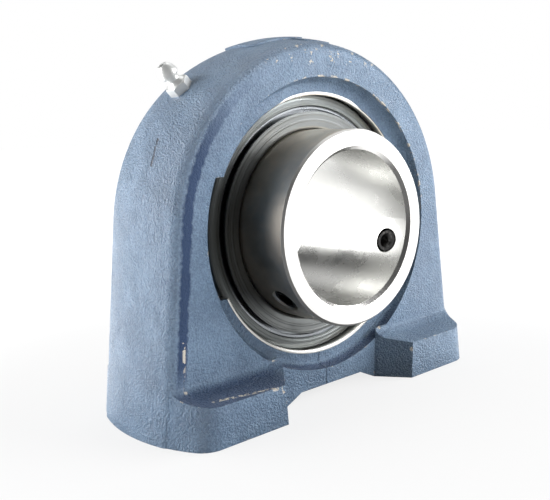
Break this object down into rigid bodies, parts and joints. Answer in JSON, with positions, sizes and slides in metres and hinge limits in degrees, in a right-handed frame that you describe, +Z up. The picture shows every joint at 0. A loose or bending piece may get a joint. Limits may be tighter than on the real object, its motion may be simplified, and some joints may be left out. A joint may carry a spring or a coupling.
{
  "type": "pillow block bearing",
  "caption": "Cast pillow block with a crowned arch and a base tapped from below, holding a self-aligning sealed ball bearing insert whose wide inner ring clamps a shaft with set screws.",
  "frame": {"origin": "on the base plane, midway between the two tapped holes, under the middle of the bore", "axes": "+Z up, bore axis along Y at z = 57.2 mm, +X along the base; the wide end of the inner ring faces -Y"},
  "size_m": [0.1364, 0.0624, 0.1199],
  "materials": {
    "cast_paint": "gloss",
    "ring_steel": "ground",
    "inner_steel": "ground",
    "ball_steel": "polished",
    "cage_steel": "pressed",
    "shield_steel": "pressed",
    "slinger_steel": "pressed",
    "seal_rubber": "matt",
    "black_steel": "blackened",
    "zinc_plate": "bright zinc"
  },
  "bodies": {
    "housing": {"housing": "cast_paint", "grease_nipple_body": "zinc_plate", "grease_nipple_spring": "shield_steel"},
    "insert": {"outer_ring": "ring_steel", "front_shield": "shield_steel", "front_seal_lip": "seal_rubber", "back_shield": "shield_steel", "back_seal_lip": "seal_rubber"},
    "inner": {"inner_ring": "inner_steel", "front_slinger": "slinger_steel", "back_slinger": "slinger_steel"},
    "cage": {"cage_front_half": "cage_steel", "cage_back_half": "cage_steel", "cage_rivets": "cage_steel"},
    "ball_01": {"ball_01": "ball_steel"},
    "ball_02": {"ball_02": "ball_steel"},
    "ball_03": {"ball_03": "ball_steel"},
    "ball_04": {"ball_04": "ball_steel"},
    "ball_05": {"ball_05": "ball_steel"},
    "ball_06": {"ball_06": "ball_steel"},
    "ball_07": {"ball_07": "ball_steel"},
    "ball_08": {"ball_08": "ball_steel"},
    "ball_09": {"ball_09": "ball_steel"},
    "ball_10": {"ball_10": "ball_steel"},
    "screw_1": {"set_screw_1": "black_steel"},
    "screw_2": {"set_screw_2": "black_steel"},
    "nipple_valve": {"grease_nipple_ball": "ball_steel"}
  },
  "joints": [
    {"name": "insert_tilt", "type": "hinge", "parent": "housing", "child": "insert", "pos_m": [0, 0, 0.0572], "axis": [1, 0, 0], "range_deg": [-3, 3]},
    {"name": "inner_spin", "type": "hinge", "parent": "insert", "child": "inner", "pos_m": [0, 0, 0.0572], "axis": [0, 1, 0], "continuous": true},
    {"name": "cage_spin", "type": "hinge", "parent": "insert", "child": "cage", "pos_m": [0, 0, 0.0572], "axis": [0, 1, 0], "continuous": true},
    {"name": "ball_01_spin", "type": "hinge", "parent": "cage", "child": "ball_01", "pos_m": [0, 0, 0.0922], "axis": [0, 1, 0], "continuous": true},
    {"name": "ball_02_spin", "type": "hinge", "parent": "cage", "child": "ball_02", "pos_m": [0.02057, 0, 0.08552], "axis": [0, 1, 0], "continuous": true},
    {"name": "ball_03_spin", "type": "hinge", "parent": "cage", "child": "ball_03", "pos_m": [0.03329, 0, 0.06802], "axis": [0, 1, 0], "continuous": true},
    {"name": "ball_04_spin", "type": "hinge", "parent": "cage", "child": "ball_04", "pos_m": [0.03329, 0, 0.04638], "axis": [0, 1, 0], "continuous": true},
    {"name": "ball_05_spin", "type": "hinge", "parent": "cage", "child": "ball_05", "pos_m": [0.02057, 0, 0.02888], "axis": [0, 1, 0], "continuous": true},
    {"name": "ball_06_spin", "type": "hinge", "parent": "cage", "child": "ball_06", "pos_m": [0, 0, 0.0222], "axis": [0, 1, 0], "continuous": true},
    {"name": "ball_07_spin", "type": "hinge", "parent": "cage", "child": "ball_07", "pos_m": [-0.02057, 0, 0.02888], "axis": [0, 1, 0], "continuous": true},
    {"name": "ball_08_spin", "type": "hinge", "parent": "cage", "child": "ball_08", "pos_m": [-0.03329, 0, 0.04638], "axis": [0, 1, 0], "continuous": true},
    {"name": "ball_09_spin", "type": "hinge", "parent": "cage", "child": "ball_09", "pos_m": [-0.03329, 0, 0.06802], "axis": [0, 1, 0], "continuous": true},
    {"name": "ball_10_spin", "type": "hinge", "parent": "cage", "child": "ball_10", "pos_m": [-0.02057, 0, 0.08552], "axis": [0, 1, 0], "continuous": true},
    {"name": "screw_1_travel", "type": "slide", "parent": "inner", "child": "screw_1", "axis": [0.9483, 0, -0.3173], "range_m": [0, 0.004]},
    {"name": "screw_2_travel", "type": "slide", "parent": "inner", "child": "screw_2", "axis": [-0.749, 0, -0.6626], "range_m": [0, 0.004]},
    {"name": "nipple_valve_travel", "type": "slide", "parent": "housing", "child": "nipple_valve", "axis": [0.6769, 0, -0.7361], "range_m": [0, 0.0006], "stiffness_N_per_m": 150, "springref_m": -0.001, "deforming": ["grease_nipple_spring"]}
  ],
  "couplings": [
    {"joint": "cage_spin", "follows": "inner_spin", "ratio": 0.40929},
    {"joint": "ball_01_spin", "follows": "inner_spin", "ratio": -2.6652},
    {"joint": "ball_02_spin", "follows": "inner_spin", "ratio": -2.6652},
    {"joint": "ball_03_spin", "follows": "inner_spin", "ratio": -2.6652},
    {"joint": "ball_04_spin", "follows": "inner_spin", "ratio": -2.6652},
    {"joint": "ball_05_spin", "follows": "inner_spin", "ratio": -2.6652},
    {"joint": "ball_06_spin", "follows": "inner_spin", "ratio": -2.6652},
    {"joint": "ball_07_spin", "follows": "inner_spin", "ratio": -2.6652},
    {"joint": "ball_08_spin", "follows": "inner_spin", "ratio": -2.6652},
    {"joint": "ball_09_spin", "follows": "inner_spin", "ratio": -2.6652},
    {"joint": "ball_10_spin", "follows": "inner_spin", "ratio": -2.6652}
  ]
}
